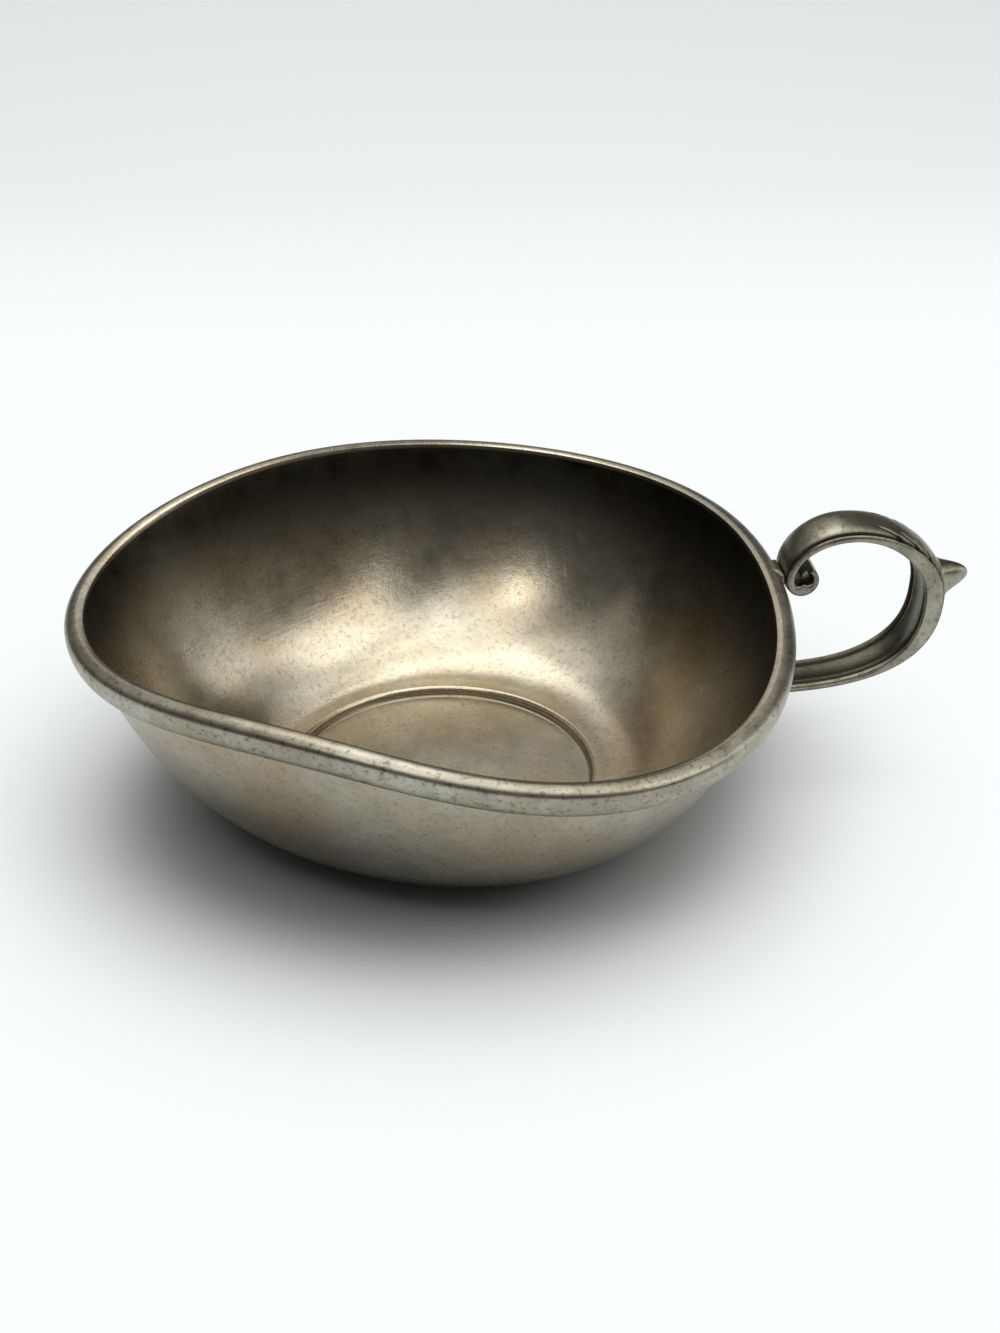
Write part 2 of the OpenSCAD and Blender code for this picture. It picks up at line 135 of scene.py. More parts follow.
bpy.context.scene.collection.objects.link(camera)
turned = mathutils.Matrix(axes).transposed().to_4x4()
camera.matrix_world = mathutils.Matrix.Translation(place * MM) @ turned
bpy.context.scene.camera = camera
print("camera at", [round(v, 1) for v in place], "mm, lens", round(camera_data.lens, 1), "mm")

# %% [markdown]
# ## A round bowl first
# A spinner makes the bowl round, on a lathe, and it is bent afterwards. The
# script does the same. It spins a section round the axis, and remembers for
# every point how far it goes along when the rim is bent: nothing at the foot,
# all the way at the rim. Those two numbers, lean and lift, are stored on the
# mesh beside a third one that says where dirt and tarnish stay and where
# shade is painted in.

# %% Spin a section into a mesh
def spin_section(name, section, closed):
    verts, faces, marks = [], [], []
    rings = len(section)
    for r, z, lean, lift, soil_and_shade in section:
        for i in range(STEPS_ROUND):
            a = 2 * math.pi * i / STEPS_ROUND
            verts.append((r * math.cos(a) * MM, r * math.sin(a) * MM, z * MM))
            marks.append((lean, lift, soil_and_shade))
    for j in range(rings if closed else rings - 1):
        here, above = j * STEPS_ROUND, ((j + 1) % rings) * STEPS_ROUND
        for i in range(STEPS_ROUND):
            k = (i + 1) % STEPS_ROUND
            faces.append((here + i, above + i, above + k, here + k))
    mesh = bpy.data.meshes.new(name)
    mesh.from_pydata(verts, [], faces)
    for n, label in enumerate(("lean", "lift", "soil_and_shade")):
        layer = mesh.attributes.new(label, "FLOAT", "POINT")
        layer.data.foreach_set("value", [m[n] for m in marks])
    return mesh


print("a section is spun in", STEPS_ROUND, "steps")

# %% [markdown]
# ## The wall's curve
# The wall is an arc that leaves the foot level and has turned by 54 degrees at
# the rim. The share u runs from 0 at the foot to 1 at the rim. The inner wall
# is the same arc, moved in by the sheet's thickness, square to the surface.

# %% The outer and the inner wall
def arc_r(u):
    return math.sin(u * WALL_TURN) / math.sin(WALL_TURN)


def arc_z(u):
    return (1 - math.cos(u * WALL_TURN)) / (1 - math.cos(WALL_TURN))


def share_at(z, top):
    rise = (z - FOOT_Z) / (top - FOOT_Z)
    return math.acos(1 - rise * (1 - math.cos(WALL_TURN))) / WALL_TURN


def outer_wall(u):
    return (FOOT_R + (RIM_R + WALL_T - FOOT_R) * arc_r(u),
            FOOT_Z + (RIM_H - FOOT_Z) * arc_z(u))


def wall_slope(u, reach, rise):
    return (reach * math.cos(u * WALL_TURN) / math.sin(WALL_TURN),
            rise * math.sin(u * WALL_TURN) / (1 - math.cos(WALL_TURN)))


def inner_wall(u):
    dr, dz = wall_slope(u, RIM_R + WALL_T - FOOT_R, RIM_H - FOOT_Z)
    d = math.hypot(dr, dz)
    r, z = outer_wall(u)
    return (r - WALL_T * dz / d, z + WALL_T * dr / d)


print("rim outside at", [round(v, 2) for v in outer_wall(1)], "mm before bending")

# %% [markdown]
# ## The band's round edge
# The band and the bowl share the round top edge, so its curve is made once. It
# is half an ellipse, flat above its belly and long below it.

# %% The band's curve, and where its foot meets the wall
BAND_MID = BAND_W * 0.315
BAND_RAD = BAND_W - BAND_MID
TOP_ANGLE = math.acos((WALL_T - BAND_MID) / BAND_RAD)
RIM_ANGLE = math.acos(-BAND_MID / BAND_RAD)
LOW_ANGLE = math.radians(-82)


def band_edge(angle):
    tall = BAND_BELLY if math.sin(angle) > 0 else BAND_H - BAND_BELLY
    return (RIM_R + BAND_MID + BAND_RAD * math.cos(angle),
            RIM_H + BAND_TOP - BAND_BELLY + tall * math.sin(angle))


foot_of_band = RIM_H - (BAND_H - BAND_TOP) * 0.98
U_FOOT = share_at(foot_of_band, RIM_H)
print("the band sits on the wall from", round(foot_of_band, 1), "mm up")

# %% [markdown]
# ## Bending by rule
# A bent rim is longer one way and pulled in another, and where it comes in it
# also rises, because the sheet doesn't stretch. That is three waves round the
# rim. Geometry Nodes can read a point's angle and push it out and up by these
# waves, with the bowl's lean and lift as weights, so the same small tree bends
# the bowl and its band and they stay together.

# %% The tree that bends a spun piece
def bend_tree(metal):
    tree = bpy.data.node_groups.new("bend the rim", "GeometryNodeTree")
    face = tree.interface
    face.new_socket("Geometry", in_out="INPUT", socket_type="NodeSocketGeometry")
    for label in ("Corner bulge", "Corner dip", "Shift", "Tilt", "Oval"):
        face.new_socket(label, in_out="INPUT", socket_type="NodeSocketFloat")
    face.new_socket("Geometry", in_out="OUTPUT", socket_type="NodeSocketGeometry")
    given = add(tree, "NodeGroupInput").outputs
    spot = add(tree, "GeometryNodeInputPosition").outputs[0]
    xyz = add(tree, "ShaderNodeSeparateXYZ", None, {0: spot}).outputs
    angle = add(tree, MATH, {"operation": "ARCTAN2"}, {0: xyz[1], 1: xyz[0]}).outputs[0]
    waves = []
    for n in (1, 2, 3):
        angles = add(tree, MATH, TIMES, {0: angle, 1: float(n)}).outputs[0]
        waves.append(add(tree, MATH, {"operation": "COSINE"}, {0: angles}).outputs[0])
    once, twice, thrice = waves
    stored = {"data_type": "FLOAT"}
    lean = add(tree, "GeometryNodeInputNamedAttribute", stored, {0: "lean"}).outputs[0]
    lift = add(tree, "GeometryNodeInputNamedAttribute", stored, {0: "lift"}).outputs[0]
    bulge = add(tree, MATH, TIMES, {0: thrice, 1: given["Corner bulge"]}).outputs[0]
    out = add(tree, MATH, TIMES_ADD, {0: once, 1: given["Shift"], 2: 0.0}).outputs[0]
    out = add(tree, MATH, TIMES_ADD, {0: twice, 1: given["Oval"], 2: out}).outputs[0]
    out = add(tree, MATH, MINUS, {0: out, 1: bulge}).outputs[0]
    out = add(tree, MATH, TIMES, {0: out, 1: lean}).outputs[0]
    tip = add(tree, MATH, TIMES, {0: once, 1: given["Tilt"]}).outputs[0]
    up = add(tree, MATH, TIMES_ADD, {0: thrice, 1: given["Corner dip"], 2: 0.0}).outputs[0]
    up = add(tree, MATH, MINUS, {0: up, 1: tip}).outputs[0]
    up = add(tree, MATH, TIMES, {0: up, 1: lift}).outputs[0]
    flat = add(tree, "ShaderNodeCombineXYZ", None, {0: xyz[0], 1: xyz[1]}).outputs[0]
    way = add(tree, VECTOR, {"operation": "NORMALIZE"}, {0: flat}).outputs[0]
    outwards = add(tree, VECTOR, {"operation": "SCALE"}, {0: way, "Scale": out}).outputs[0]
    raised = add(tree, "ShaderNodeCombineXYZ", None, {2: up}).outputs[0]
    step = add(tree, VECTOR, {"operation": "ADD"}, {0: outwards, 1: raised}).outputs[0]
    moved = add(tree, "GeometryNodeSetPosition", None,
                {"Geometry": given["Geometry"], "Offset": step}).outputs[0]
    whole = add(tree, "GeometryNodeRealizeInstances", None, {0: moved}).outputs[0]
    dressed = add(tree, "GeometryNodeSetMaterial", None,
                  {"Geometry": whole, "Material": metal}).outputs[0]
    add(tree, "NodeGroupOutput", None, {0: dressed})
    return tree


print("bending tree ready")

# %% [markdown]
# ## From the tree to a plain mesh
# The modifier is set up by each socket's identifier before the object is first
# evaluated. The evaluated result then becomes a plain mesh of its own, because
# the export reads plain meshes, and the spun blank is thrown away.

# %% Bend a spun blank
def bend(name, mesh, metal):
    blank = bpy.data.objects.new(name + ".spun", mesh)
    bpy.context.scene.collection.objects.link(blank)
    bending = blank.modifiers.new("bend", "NODES")
    bending.node_group = bend_tree(metal)
    sizes = {"Corner bulge": LOBE_OUT, "Corner dip": LOBE_DIP, "Shift": MOUTH_SHIFT,
             "Tilt": MOUTH_TILT, "Oval": MOUTH_OVAL}
    for item in bending.node_group.interface.items_tree:
        if item.in_out == "INPUT" and item.name in sizes:
            bending[item.identifier] = sizes[item.name] * MM
    graph = bpy.context.evaluated_depsgraph_get()
    plain = bpy.data.meshes.new_from_object(blank.evaluated_get(graph))
    bpy.data.objects.remove(blank)
    plain.name = name
    piece = bpy.data.objects.new(name, plain)
    bpy.context.scene.collection.objects.link(piece)
    return piece


print("a bent mouth is", round(2 * (RIM_R + BAND_W), 1), "mm wide on average")

# %% [markdown]
# ## Pewter
# Pewter is mostly tin. Spun or cast and rubbed down it is a soft grey with a
# satin shine, and as it ages it goes warm: a thin brown film that lies in
# clouds, dark specks where the metal has pitted, and paler hairlines from
# daily use. It is a metal, so its whole colour is in its reflection.
# Each pattern has a real size: the film lies in clouds 25 mm across, with
# finer ones of 6 mm in them, and the scratches are about a third of a
# millimetre wide and a centimetre or more long. Real pits and grain are a few
# hundredths of a millimetre. They would vanish in the picture, so they are
# drawn at 0.4 to 1.1 mm, as coarse as they need to be to show.

# %% Sizes of the patterns, in millimetres
FILM, CLOUD, GRAIN, FINE, PIT = 25.0, 6.0606, 1.1111, 0.41667, 0.58824
LONG_RUB = {"turn": (0.3, 0.2, 0.7), "wide": 0.33333, "long": 11.1111}
CROSS_RUB = {"turn": (0.2, 0.5, -0.6), "wide": 0.38462, "long": 14.2857}
RELIEF = 0.06


def per_metre(size):
    return 1 / (size * MM)


print("film repeats", round(per_metre(FILM)), "times in a metre, grain", round(per_metre(GRAIN)))

# %% [markdown]
# ## One scratch pattern
# A scratch is noise stretched thin along one direction, then cut to its
# highest ridges. Two such patterns at different angles look like daily use.

# %% Scratches
def scratches(tree, where, rub):
    along = per_metre(rub["long"])
    stretch = {"Vector": where, "Rotation": rub["turn"],
               "Scale": (per_metre(rub["wide"]), along, along)}
    stretched = add(tree, "ShaderNodeMapping", None, stretch).outputs[0]
    ridges = add(tree, NOISE, None, {"Vector": stretched, "Scale": 1.0, "Detail": 1.0,
                                     "Roughness": 0.5}).outputs[0]
    return add(tree, RANGE, SMOOTH,
               {"Value": ridges, "From Min": 0.70, "From Max": 0.78}).outputs[0]


print("scratches ready")

# %% [markdown]
# ## The finish in layers
# The colour is built as it came to be: clouds of two greys, the brown film
# over them, specks and pits, pale scratches, and at last the dark that the
# mesh's stored number asks for, which is dirt and painted shade. Roughness
# follows the clouds, the grain and that dirt and shade. The relief is only
# 0.06 mm deep: turning or brushing lines, grain, pits and scratches.

# %% The pewter material
def pewter(name, pale, body, brown, dark, gloss, specks, lines, line_depth):
    metal = bpy.data.materials.new(name)
    metal.use_nodes = True
    tree = metal.node_tree
    tree.nodes.clear()
    where = add(tree, "ShaderNodeTexCoord").outputs["Object"]
    patterns = []
    for size, detail, crisp in ((FILM, 3.0, 0.6), (CLOUD, 4.0, 0.6), (GRAIN, 3.0, 0.7),
                                (FINE, 2.0, 0.6)):
        patterns.append(add(tree, NOISE, None, {"Vector": where, "Scale": per_metre(size),
                                                "Detail": detail, "Roughness": crisp}).outputs[0])
    film, cloud, grain, fine = patterns
    soil_and_shade = add(tree, "ShaderNodeAttribute", {"attribute_name": "soil_and_shade"}).outputs["Fac"]

    clouds = add(tree, RANGE, SMOOTH, {"Value": cloud, "From Min": 0.30, "From Max": 0.72})
    tone = add(tree, MIX, COLOURS, {0: clouds.outputs[0], 6: srgb(body), 7: srgb(pale)})
    aged = add(tree, RANGE, SMOOTH, {"Value": film, "From Min": 0.38, "From Max": 0.72})
    aged = add(tree, MATH, TIMES, {0: aged.outputs[0], 1: 0.55})
    tone = add(tree, MIX, COLOURS, {0: aged.outputs[0], 6: tone.outputs[2], 7: srgb(brown)})
    ground = add(tree, RANGE, SMOOTH, {"Value": grain, "From Min": 0.50, "From Max": 0.72})
    ground = add(tree, MATH, TIMES, {0: ground.outputs[0], 1: specks})
    tone = add(tree, MIX, COLOURS, {0: ground.outputs[0], 6: tone.outputs[2], 7: srgb(dark)})

    cells = add(tree, "ShaderNodeTexVoronoi", None, {"Vector": where, "Scale": per_metre(PIT)})
    hole = add(tree, RANGE, SMOOTH,
               {"Value": cells.outputs["Distance"], "From Min": 0.14, "From Max": 0.30})
    hole = add(tree, MATH, MINUS, {0: 1.0, 1: hole.outputs[0]})
    rare = add(tree, "ShaderNodeSeparateColor", None, {0: cells.outputs["Color"]})
    rare = add(tree, MATH, {"operation": "LESS_THAN"}, {0: rare.outputs[0], 1: specks * 0.4})
    pit = add(tree, MATH, TIMES, {0: hole.outputs[0], 1: rare.outputs[0]}).outputs[0]
    shade = add(tree, MATH, TIMES, {0: pit, 1: 0.5})
    tone = add(tree, MIX, COLOURS, {0: shade.outputs[0], 6: tone.outputs[2], 7: srgb(dark)})

    rub = add(tree, MATH, {"operation": "ADD"}, {0: scratches(tree, where, LONG_RUB),
                                                 1: scratches(tree, where, CROSS_RUB)}).outputs[0]
    shine = add(tree, MATH, TIMES, {0: rub, 1: 0.22})
    tone = add(tree, MIX, COLOURS, {0: shine.outputs[0], 6: tone.outputs[2], 7: srgb(pale)})
    # Dirt and painted shade: the stored darkness, broken into clouds, takes the colour towards the
    # dark hex and roughens it.
    patchy = add(tree, MATH, TIMES_ADD, {0: cloud, 1: 0.35, 2: 0.74})
    dirt_and_shade = add(tree, MATH, TIMES, {0: soil_and_shade, 1: patchy.outputs[0]}).outputs[0]
    tone = add(tree, MIX, COLOURS, {0: dirt_and_shade, 6: tone.outputs[2], 7: srgb(dark)}).outputs[2]

    turning = add(tree, "ShaderNodeMapping", None,
                  {"Vector": where, "Scale": tuple(per_metre(size) for size in lines)})
    turning = add(tree, NOISE, None, {"Vector": turning.outputs[0], "Scale": 1.0,
                                      "Detail": 2.0, "Roughness": 0.6})
    rough = add(tree, MATH, TIMES_ADD, {0: cloud, 1: 0.12, 2: gloss - 0.06}).outputs[0]
    rough = add(tree, MATH, TIMES_ADD, {0: grain, 1: 0.10, 2: rough}).outputs[0]
    rough = add(tree, MATH, TIMES_ADD, {0: dirt_and_shade, 1: 0.08, 2: rough}).outputs[0]
    relief = add(tree, MATH, TIMES_ADD, {0: turning.outputs[0], 1: line_depth, 2: fine}).outputs[0]
    for height, weight in ((grain, 1.4), (pit, -1.2), (rub, -0.5)):
        relief = add(tree, MATH, TIMES_ADD, {0: height, 1: weight, 2: relief}).outputs[0]
    bump = add(tree, "ShaderNodeBump", None,
               {"Strength": 0.20, "Distance": RELIEF * MM, "Height": relief}).outputs[0]
    shader = add(tree, "ShaderNodeBsdfPrincipled", None,
                 {"Base Color": tone, "Metallic": 1.0, "Roughness": rough, "Normal": bump})
    add(tree, "ShaderNodeOutputMaterial", None, {0: shader.outputs[0]})
    return metal


print("pewter ready, relief", RELIEF, "mm")

# %% [markdown]
# ## Four kinds of pewter
# The bowl was spun and rubbed to a satin, so it is the glossiest and warmest,
# with fine level turning lines. The band is turned too, but handled more: it
# is greyer, with more pits. The handle is as cast, darker, and its lines run
# no one way. Soft solder is the dullest. The four hex values are the pale
# metal, its body colour, the brown film and the dark that specks, pits, dirt
# and painted shade take. After them come the roughness, the share of specks,
# the size of a turning line along x, y and z in millimetres, and how strongly
# the lines show in the relief.

# %% The four metals
bowl_metal = pewter("spun satin pewter", "#c6c0b0", "#b4ae9d", "#a68e68", "#1c1913",
                    0.20, 0.30, (16.6667, 16.6667, 0.71429), 0.8)
band_metal = pewter("turned pewter band", "#b3b0a3", "#989486", "#857c64", "#26241d",
                    0.30, 0.60, (16.6667, 16.6667, 0.625), 0.6)
handle_metal = pewter("cast pewter", "#a8a596", "#838072", "#6b624c", "#1c1a14",
                      0.27, 0.50, (2.0, 3.33333, 2.0), 0.4)
solder_metal = pewter("soft solder", "#8e897f", "#716c64", "#5f584c", "#2a2621",
                      0.42, 0.35, (3.33333, 3.33333, 3.33333), 0.4)
print("metals:", bowl_metal.name, band_metal.name, handle_metal.name, solder_metal.name)

# %% [markdown]
# ## The bowl
# The section runs from the middle of the floor, up a small fillet to the
# shoulder, along the inner wall to the rim, over it, down the outer wall and
# under the foot. The fillet of the sunk floor and the crease under the band
# outside are darkened, dirt and painted shade together, and the outer wall
# darkens towards the foot, a painted reflection of the table's shadow. Inside,
# a dark film thickens towards the rim, where hands and cloths don't reach: it
# is partly tarnish and partly a painted reflection of the dark room that the
# real rim mirrors.

# %% The bowl's section, inside
bowl_section = []
floor_z, shoulder_z = WALL_T, FOOT_Z + WALL_T
for k in range(15):
    bowl_section.append(((FLOOR_R - STEP_ROUND) * k / 14, floor_z, 0, 0, 0.13))
# The fillet at the foot of the step is darkened: dirt and painted shade.
for k in range(1, 9):
    a = math.radians(80 * k / 8)
    bowl_section.append((FLOOR_R - STEP_ROUND * (1 - math.sin(a)),
                         floor_z + STEP_ROUND * (1 - math.cos(a)),
                         0, 0, 0.75 * math.sin(math.pi * k / 9)))
for k in range(0, 9):
    a = math.radians(10 + 80 * k / 8)
    bowl_section.append((FLOOR_R + STEP_ROUND * (1 - math.cos(a)),
                         shoulder_z - STEP_ROUND * (1 - math.sin(a)),
                         0, 0, 0.5 * max(0.0, 1 - k / 3)))
# A dark film thickens towards the rim: tarnish, and a painted reflection of the dark room.
for k in range(1, 61):
    u = k / 60
    r, z = inner_wall(u * 0.985)
    film_and_painted_reflection = min(1.0, max(0.0, (u - 0.60) / 0.38))
    bowl_section.append((r, z, arc_r(u), arc_z(u), film_and_painted_reflection * film_and_painted_reflection * (3 - 2 * film_and_painted_reflection)))
print("points inside:", len(bowl_section))

# %% The bowl's section, over the rim and down outside
for k in range(0, 7):
    r, z = band_edge(RIM_ANGLE + (TOP_ANGLE - RIM_ANGLE) * k / 6)
    bowl_section.append((r, z, 1, 1, 0.0))
# The crease under the band is darkened, dirt and painted shade, and the wall darkens towards the
# foot as a painted reflection of the table's shadow.
for k in range(0, 71):
    u = 1 - k / 70
    r, z = outer_wall(u)
    shade_under_band = math.exp(-((u - U_FOOT) / 0.012) ** 2) if u < U_FOOT else 1.0
    bowl_section.append((r, z, arc_r(u), arc_z(u), max(shade_under_band, 0.08 + 0.4 * (1 - u) ** 2)))
for k in range(1, 8):
    a = math.radians(90 * k / 7)
    bowl_section.append((FOOT_R - FOOT_STEP - FOOT_ROUND * math.sin(a),
                         FOOT_Z * 0.5 * (1 + math.cos(a)), 0, 0, 0.3))
for k in range(1, 9):
    bowl_section.append(((FOOT_R - FOOT_STEP - FOOT_ROUND) * (1 - k / 8), 0.0, 0, 0, 0.2))
bowl = bend("bowl_shell", spin_section("bowl_shell", bowl_section, False), bowl_metal)
print("bowl section has", len(bowl_section), "points")

# %% [markdown]
# ## Closing the poles
# The section starts and ends on the axis, where every ring collapses to one
# point. Merging the doubles there closes the shell, and then its normals can
# be trusted.

# %% Merge doubles, face outwards, shade smooth
def finish(piece):
    work = bmesh.new()
    work.from_mesh(piece.data)
    bmesh.ops.remove_doubles(work, verts=work.verts, dist=1e-6)
    bmesh.ops.recalc_face_normals(work, faces=work.faces)
    for face in work.faces:
        face.smooth = True
    if work.calc_volume(signed=True) < 0:
        bmesh.ops.reverse_faces(work, faces=work.faces)
    volume = work.calc_volume() * 1e6
    work.to_mesh(piece.data)
    work.free()
    piece.data.set_sharp_from_angle(angle=math.radians(38))
    print(piece.name, len(piece.data.polygons), "faces,", round(volume, 2), "cm3")
    return piece


finish(bowl)
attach(bowl, "root")
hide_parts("bowl")

# %% [markdown]
# ## The band
# The band is a rounded strip, soldered on outside the edge to stiffen it. Its
# back lies on the wall and takes the wall's own curve.

# %% The band's section
band_section = []
# The lowest points of the round edge are darkened where the band meets the wall: painted shade in
# the crease, with dirt.
for k in range(0, 29):
    r, z = band_edge(TOP_ANGLE + (LOW_ANGLE - TOP_ANGLE) * k / 28)
    band_section.append((r, z, 1, 1, max(0.0, (k - 25) / 3)))
for k in range(0, 9):
    u = U_FOOT + (1 - U_FOOT) * k / 8
    r, z = outer_wall(u)
    band_section.append((r, z, arc_r(u), arc_z(u), 0.8 if k < 7 else 0.2))
band = finish(bend("rim_edge", spin_section("rim_edge", band_section, True), band_metal))
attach(band, "root")
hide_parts("rim_band")

# %% [markdown]
# ## The handle's line
# The handle is cast. Its side shows a flat band that starts in the scroll,
# climbs over the arch, swells on the far side and thins along the lower arm.
# An arc and three Bezier curves hold the outer edge of that band, and a
# section rides along them, so the handle is a loft.

# %% Sizes of the handle, in millimetres
ARCH_W, TAIL_W, COIL_W = 11.2, 10.2, 8.8
ARCH_T, BEND_T, TAIL_T = 1.8, 3.9, 1.5
ARCH_RISE, ARCH_RUN, LOOP_REACH, LOOP_DROP, ARM_Z = 8.4, 13.3, 33.4, 7.8, 17.2
CAP_RISE, EDGE_W, GROOVE_D, FACE_D = 1.1, 0.7, 0.45, 0.12
LEAF_CUTS, CUT_W, CUT_D, CUT_FROM, CUT_STEP = 4, 0.9, 0.35, 0.34, 0.155
COIL_R, COIL_DROP, LOBE_T, TIP_T = 3.4, 1.8, 2.9, 1.1
COIL_START, COIL_TURN, EYE_DEEP = 52, 232, 2.3
SPUR_L, SPUR_UP, SPUR_DOWN, SPUR_Q, SPUR_LIFT = 5.4, 4.2, 2.8, 0.72, 1.8
SOLDER_T = 0.45
rim_front = RIM_R + MOUTH_SHIFT + MOUTH_OVAL - LOBE_OUT
top_z = RIM_H - MOUTH_TILT + LOBE_DIP
coil_crown = CAP_RISE * 0.3
back_x = rim_front + BAND_W + SOLDER_T + coil_crown
coil_x, coil_z = back_x + COIL_R, top_z - COIL_DROP
print("the scroll's back is", round(back_x, 1), "mm out")


# %% The three curves
def between(a, b, t):
    return a + (b - a) * t


def ease(t):
    c = min(1.0, max(0.0, t))
    return c * c * (3 - 2 * c)


def on_curve(p, t):
    s = 1 - t
    spot = [s ** 3 * p[0][i] + 3 * s * s * t * p[1][i] + 3 * s * t * t * p[2][i]
            + t ** 3 * p[3][i] for i in (0, 1)]
    way = [3 * s * s * (p[1][i] - p[0][i]) + 6 * s * t * (p[2][i] - p[1][i])
           + 3 * t * t * (p[3][i] - p[2][i]) for i in (0, 1)]
    return spot, way


crest = (rim_front + BAND_W + ARCH_RUN, top_z + ARCH_RISE)
far_point = (rim_front + BAND_W + LOOP_REACH, top_z - LOOP_DROP)
arm_point = (back_x + 3, ARM_Z)
rise_curve = ((back_x, coil_z), (back_x, between(coil_z, crest[1], 0.55)),
              (between(crest[0], back_x, 0.55), crest[1]), crest)
fall_curve = (crest, (between(crest[0], far_point[0], 0.53), crest[1]),
              (far_point[0], between(far_point[1], crest[1], 0.53)), far_point)
arm_curve = (far_point, (far_point[0], between(far_point[1], arm_point[1], 0.667)),
             (between(arm_point[0], far_point[0], 0.67), arm_point[1]), arm_point)
print("arch top at", [round(v, 1) for v in crest], "far side at", [round(v, 1) for v in far_point])

# %% [markdown]
# ## What changes along the handle
# At each station the section has a thickness t, a width w, the rise of its leaf
# cap, the depth of its grooves outside and inside, and a face that is sunk by
# a little or, with a minus, stands up as the web in the scroll. The spur is a
# leaf tip that lifts off the cap slowly and drops back fast. The leaf's edge
# has four cuts.

# %% The spur, the cuts and a station
def spur_at(e):
    if e < 0:
        return SPUR_L * math.cos(math.pi / 2 * min(1, -e / SPUR_UP)) ** 2
    return SPUR_L * max(0.0, math.cos(math.pi / 2 * min(1, e / SPUR_DOWN))) ** 1.3


def cut_at(t):
    if t < CUT_FROM - CUT_STEP / 2 or t > CUT_FROM + CUT_STEP * (LEAF_CUTS - 0.5):
        return 0.0
    return (0.5 + 0.5 * math.cos(2 * math.pi * (t - CUT_FROM) / CUT_STEP)) ** 3


def station(p, d, t, w, cap, groove=0, face=0, spur=0, trough=0, web=0.0, cut=0.0, run=None):
    m = math.hypot(d[0], d[1])
    return dict(x=p[0], z=p[1], nx=-d[1] / m, nz=d[0] / m, t=t, w=w, cap=cap, groove=groove,
                face=face, spur=spur, trough=trough, web=web, cut=cut, run=run)


print("the spur stands out by", round(spur_at(0), 1), "mm")

# %% [markdown]
# ## Four stretches of stations
# The scroll starts at its tip, swells to the lobe and thins again, with a web
# in its eye. The rise, the fall and the arm follow their curves. Their steps
# are uneven, so that the spur gets more of them.

# %% Stations of the scroll and the rise
stations = []
for i in range(0, 65):
    k = i / 64
    a = math.radians(COIL_START - k * COIL_TURN)
    lobe = math.exp(-((math.degrees(a) + 75) / 48) ** 2)
    t = between(TIP_T, ARCH_T, ease((k - 0.3) / 0.7)) + (LOBE_T - ARCH_T) * lobe
    t += 0.2 * math.exp(-((math.degrees(a) + 68) / 34) ** 2)
    r = COIL_R * between(0.93, 1, ease(k * 2))
    web = r - t - 0.35 if k < 0.86 else (r - t) * ease((1 - k) / 0.14) * 0.9
    stations.append(station((coil_x + r * math.cos(a), coil_z + r * math.sin(a)),
                            (math.sin(a), -math.cos(a)), t, COIL_W,
                            coil_crown * ease(k * 3), face=-web, web=EYE_DEEP))
for i in range(1, 41):
    t = i / 40
    p, d = on_curve(rise_curve, t)
    stations.append(station(p, d, ARCH_T, between(COIL_W, ARCH_W, ease(t)),
                            between(coil_crown, CAP_RISE, ease(t)), GROOVE_D * ease(t * 2)))
print("stations so far:", len(stations))

# %% Stations of the fall and the arm
for i in range(1, 161):
    t = 1 - (1 - i / 160) ** 1.2
    p, d = on_curve(fall_curve, t)
    inside = ease((t - 0.3) * 3)
    stations.append(station(p, d, between(ARCH_T, BEND_T, ease(t)), ARCH_W, CAP_RISE,
                            GROOVE_D * (1 - ease((t - 0.7) * 3)) + CUT_D * cut_at(t),
                            FACE_D * inside, spur_at(far_point[1] + SPUR_LIFT - p[1]),
                            GROOVE_D * inside, cut=cut_at(t), run=t))
for i in range(1, 91):
    t = (i / 90) ** 1.3
    p, d = on_curve(arm_curve, t)
    stations.append(station(p, d, between(BEND_T, TAIL_T, ease(t * 1.15)),
                            between(ARCH_W, TAIL_W, ease(t)), CAP_RISE, 0, FACE_D,
                            spur_at(far_point[1] + SPUR_LIFT - p[1]), GROOVE_D))
print("stations along the handle:", len(stations))

# %% [markdown]
# ## The handle's section
# Half a section is a short list of points, from the crown of the leaf cap,
# down into its groove, over the flat side and in to the trough. The other half
# is its mirror image. Each point also says how dark it is painted, dirt and
# painted shade together, which is what makes the grooves, the leaf's cuts and
# the trough read as dark. The cuts slant back towards the crown, as a graver
# leaves them, and the arm is hollowed inside. The photo shows both, and the
# solids leave them plain.

# %% The crown of the cap and its slanted cuts
CROWN = [0.55 * i / 8 for i in range(8)] + [0.55 + 0.435 * i / 20 for i in range(21)]
NICK_D, NICK_SLANT = 0.5, 0.36
GROOVE_MORE, BODY_ROUND, HOLLOW_IN = 1.3, 0.62, 1.7


def nick(run, q):
    if run is None or q < 0.5:
        return 0.0
    return cut_at(run + NICK_SLANT * (1 - q)) ** 1.6 * ease((q - 0.52) / 0.3)


# The leaf's cuts and the cap's edge by its groove are painted dark: painted shade, with dirt.
def crown_rows(s, leaf, groove_shade):
    rows = []
    for q in CROWN:
        cut = nick(s["run"], q)
        spur = s["spur"] * max(0.0, 1 - (q / SPUR_Q) ** 2) ** 1.2
        rows.append((s["t"] + s["cap"] * math.sqrt(1 - q * q) - NICK_D * cut + spur,
                     (leaf - 0.2) * q,
                     min(1.0, 2.2 * cut + groove_shade * 0.5 * max(0.0, q - 0.86) / 0.12)))
    return rows


print("points over half the crown:", len(CROWN))


# %% [markdown]
# ## The sides and the inside
# The side is flat, as the two halves of a mould leave it, with its corners
# rounded off by filing. Inside, the scroll's eye is filled by a thin web, and
# the rest of the loop has a shallow trough, which saves metal.

